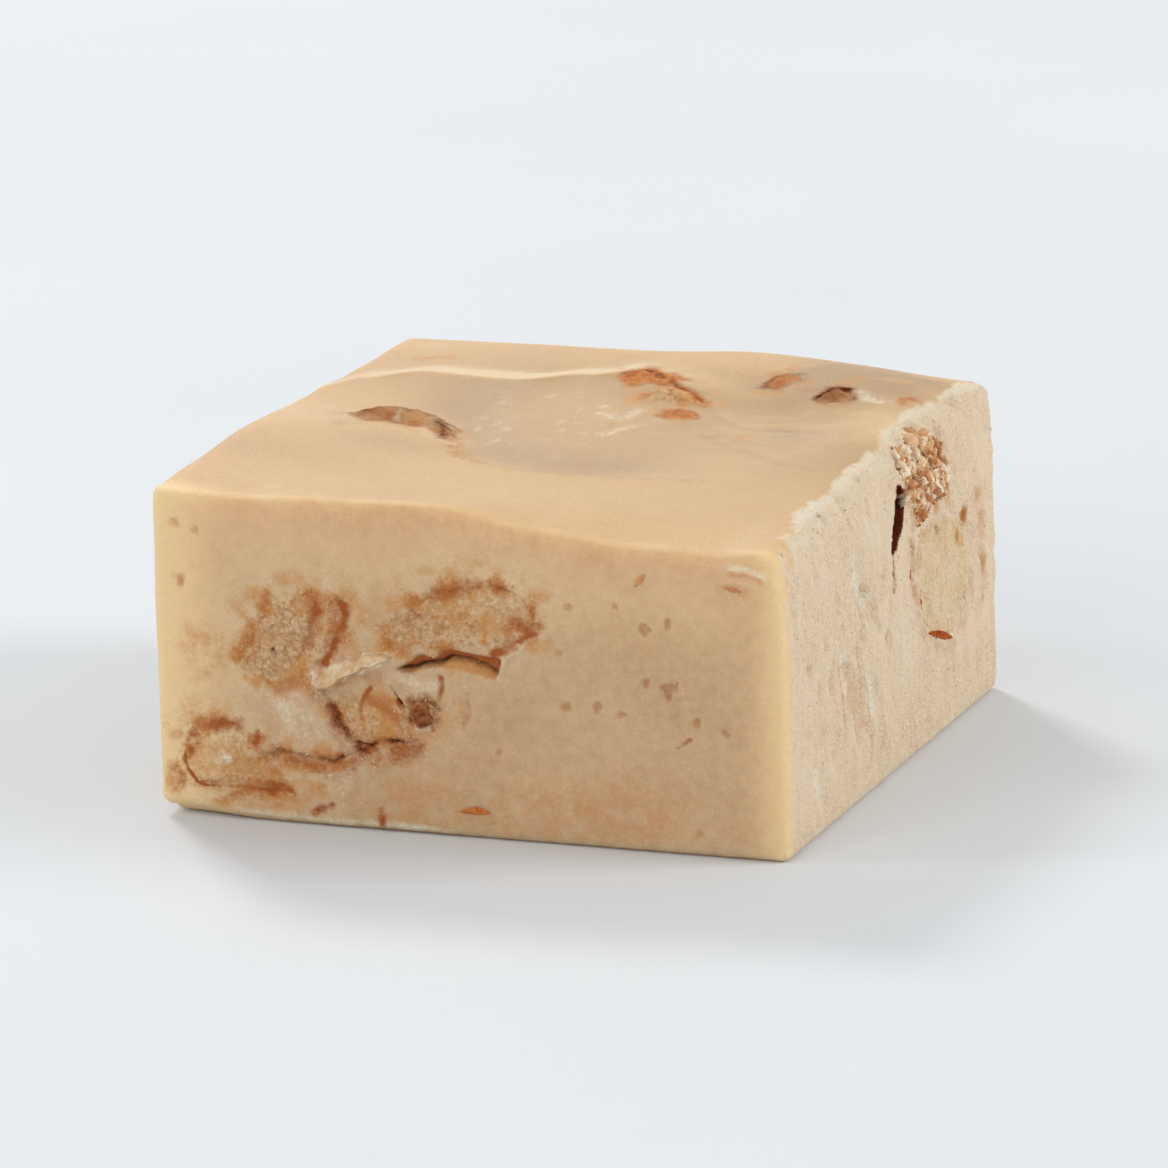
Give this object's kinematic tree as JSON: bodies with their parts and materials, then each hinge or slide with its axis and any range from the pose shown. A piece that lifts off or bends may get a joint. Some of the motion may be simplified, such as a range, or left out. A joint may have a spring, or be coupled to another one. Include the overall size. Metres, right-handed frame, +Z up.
{
  "type": "maple fudge square with nuts",
  "caption": "Hand-cut square block of maple fudge with nut pieces showing in its cut sides and poking through its softly folded top; it rests on a flat base.",
  "frame": {"origin": "on the resting surface, under the middle of the block's box", "axes": "+Z up from the flat base to the poured top; +Y from the front cut face to the back one; +X along the front to the right"},
  "size_m": [0.0604, 0.0623, 0.0309],
  "materials": {
    "fudge": "satin poured top, matt cut sides, slightly translucent",
    "nut_flesh": "grainy golden nut flesh, cut through",
    "nut_pale": "pale cream nut flesh, broken",
    "nut_skin": "orange-brown nut skin, thin and wrinkled",
    "nut_skin_dark": "dark purple-brown nut skin, thin and wrinkled"
  },
  "bodies": {
    "root": {"fudge": "fudge", "nut_front_left": "nut_flesh", "nut_front_right": "nut_flesh", "nut_front_flake": "nut_pale", "nut_front_middle": "nut_flesh", "nut_front_skin": "nut_skin_dark", "nut_front_low": "nut_flesh", "nut_front_strip": "nut_flesh", "nut_top_left": "nut_skin_dark", "nut_top_crest": "nut_skin", "nut_top_lobe": "nut_flesh", "nut_top_lower": "nut_skin", "nut_top_back": "nut_skin", "nut_top_dark": "nut_skin_dark", "nut_side_crumbs": "nut_flesh", "nut_side_pale": "nut_pale", "nut_back_wide": "nut_flesh", "nut_back_small": "nut_skin", "nut_left_wide": "nut_flesh", "nut_left_small": "nut_flesh"}
  },
  "joints": []
}
